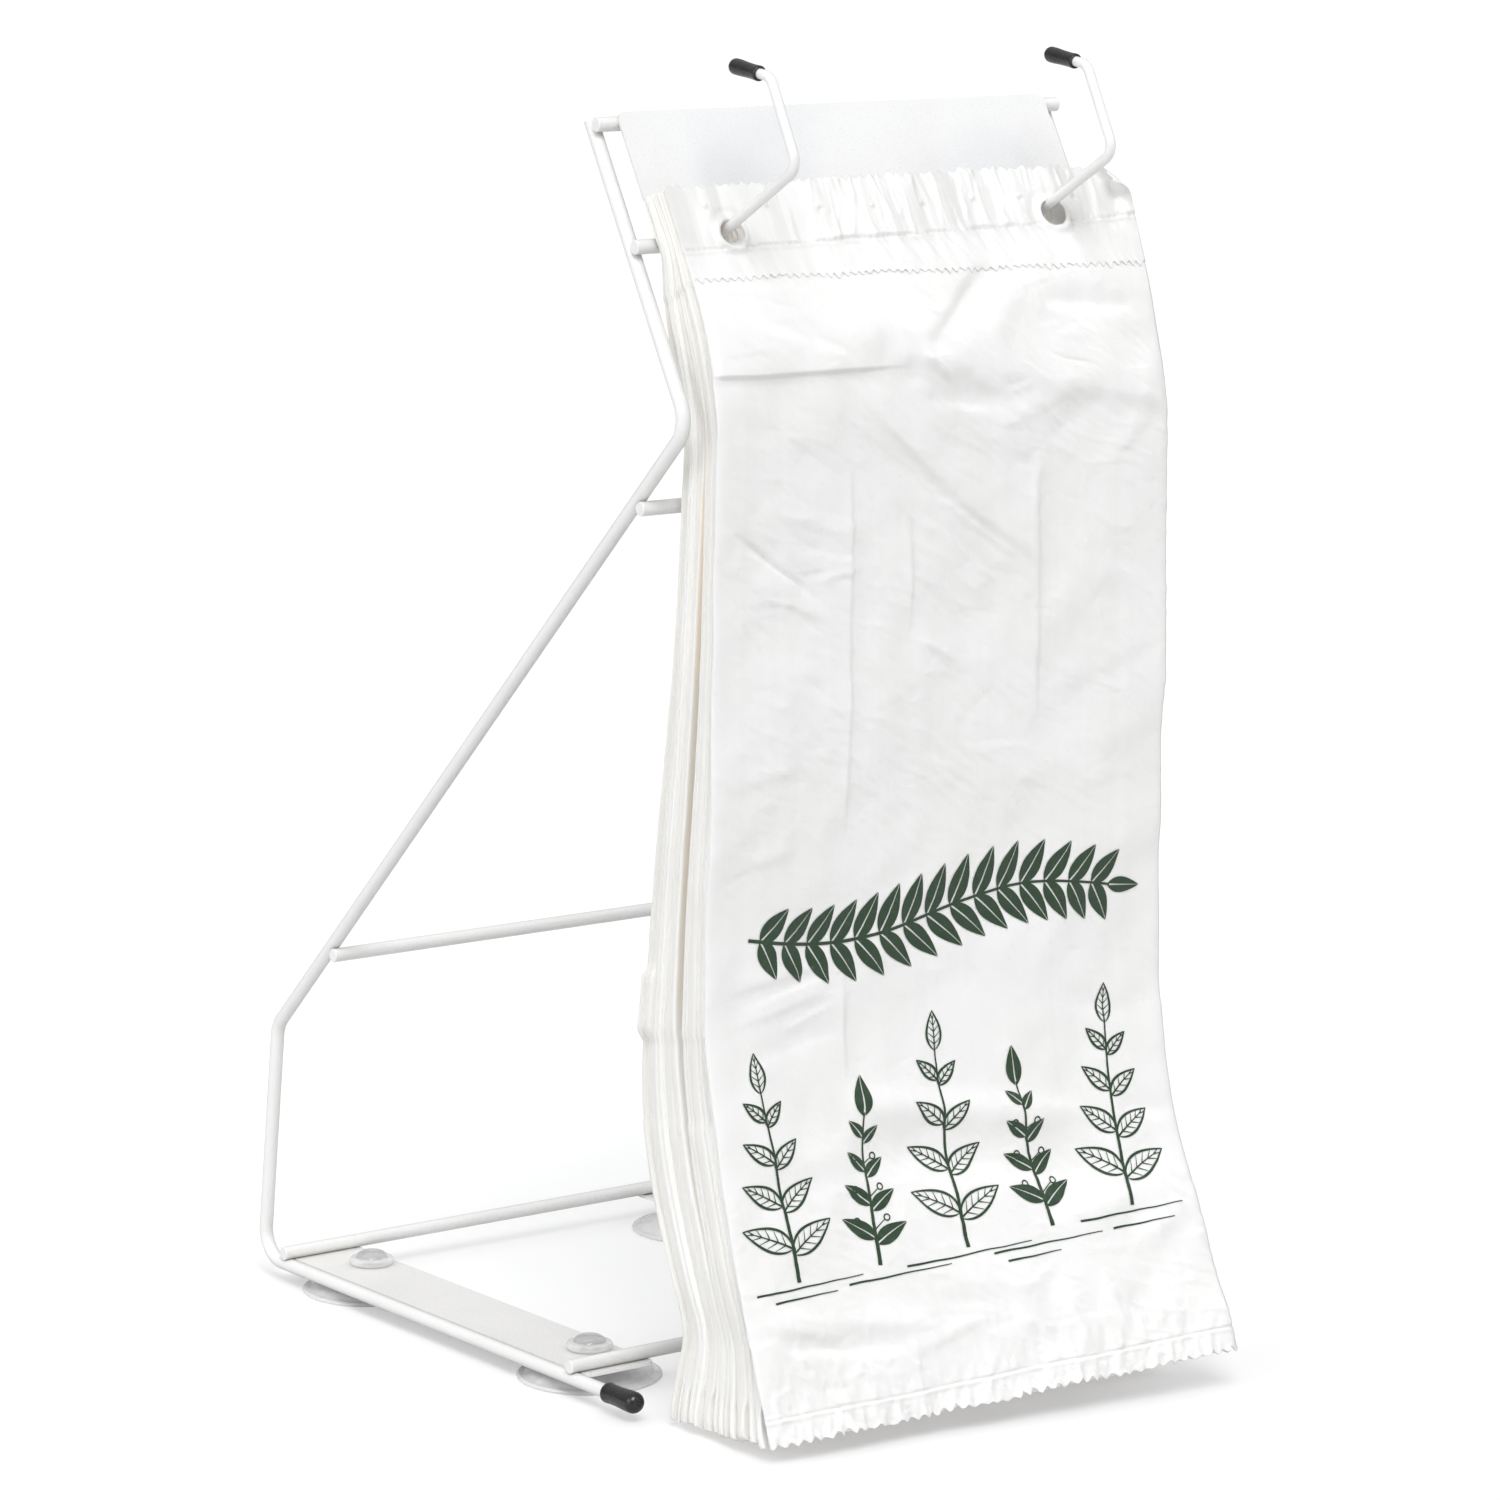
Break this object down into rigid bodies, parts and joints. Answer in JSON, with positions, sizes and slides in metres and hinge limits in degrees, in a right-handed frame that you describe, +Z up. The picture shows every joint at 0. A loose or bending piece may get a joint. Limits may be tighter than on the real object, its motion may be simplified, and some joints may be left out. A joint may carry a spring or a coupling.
{
  "type": "plastic bag holder",
  "caption": "Counter-top bent-wire easel that holds a saddle pack of flat film bags on two forward hooks, standing on suction cups.",
  "frame": {"origin": "on the table, at the centre of the rectangle made by the suction cups' axes", "axes": "+Z up, -Y the front where the bags hang, +X to the right of someone facing the front"},
  "size_m": [0.258, 0.4289, 0.5935],
  "materials": {
    "white_coat": "white powder coat, semi-gloss",
    "black_vinyl": "glossy dipped vinyl",
    "clear_vinyl": "clear soft vinyl",
    "bag_film": "translucent white polyethylene film with a slight sheen"
  },
  "bodies": {
    "frame": {"top_crossbar": "white_coat", "hook_crossbar": "white_coat", "knee_crossbar": "white_coat", "rear_crossbar": "white_coat", "rear_base_crossbar": "white_coat", "front_base_crossbar": "white_coat", "side_wire_left": "white_coat", "side_wire_right": "white_coat", "hook_left": "white_coat", "hook_right": "white_coat", "header_panel": "white_coat", "base_plate_left": "white_coat", "base_plate_right": "white_coat", "hook_cap_left": "black_vinyl", "hook_cap_right": "black_vinyl", "foot_cap_left": "black_vinyl", "foot_cap_right": "black_vinyl"},
    "bag_pack": {"bag_header_block": "bag_film", "bag_bundle_1": "bag_film", "bag_bundle_2": "bag_film", "bag_bundle_3": "bag_film", "bag_bundle_4": "bag_film", "bag_bundle_5": "bag_film", "bag_bundle_6": "bag_film", "bag_bundle_7": "bag_film", "bag_bundle_8": "bag_film"},
    "front_bag": {"front_bag": "bag_film"},
    "cup_front_left": {"suction_cup_front_left": "clear_vinyl"},
    "cup_front_right": {"suction_cup_front_right": "clear_vinyl"},
    "cup_rear_left": {"suction_cup_rear_left": "clear_vinyl"},
    "cup_rear_right": {"suction_cup_rear_right": "clear_vinyl"}
  },
  "joints": [
    {"name": "pack_on_hooks", "type": "slide", "parent": "frame", "child": "bag_pack", "axis": [0, -0.8715, 0.4905], "range_m": [0, 0.034]},
    {"name": "front_bag_swing", "type": "hinge", "parent": "bag_pack", "child": "front_bag", "pos_m": [0, -0.18851, 0.51313], "axis": [-1, 0, 0], "range_deg": [0, 50]},
    {"name": "cup_turn_front_left", "type": "hinge", "parent": "frame", "child": "cup_front_left", "pos_m": [-0.096, -0.0907, 0.012], "axis": [0, 0, 1], "continuous": true},
    {"name": "cup_turn_front_right", "type": "hinge", "parent": "frame", "child": "cup_front_right", "pos_m": [0.096, -0.0907, 0.012], "axis": [0, 0, 1], "continuous": true},
    {"name": "cup_turn_rear_left", "type": "hinge", "parent": "frame", "child": "cup_rear_left", "pos_m": [-0.096, 0.0907, 0.012], "axis": [0, 0, 1], "continuous": true},
    {"name": "cup_turn_rear_right", "type": "hinge", "parent": "frame", "child": "cup_rear_right", "pos_m": [0.096, 0.0907, 0.012], "axis": [0, 0, 1], "continuous": true}
  ]
}
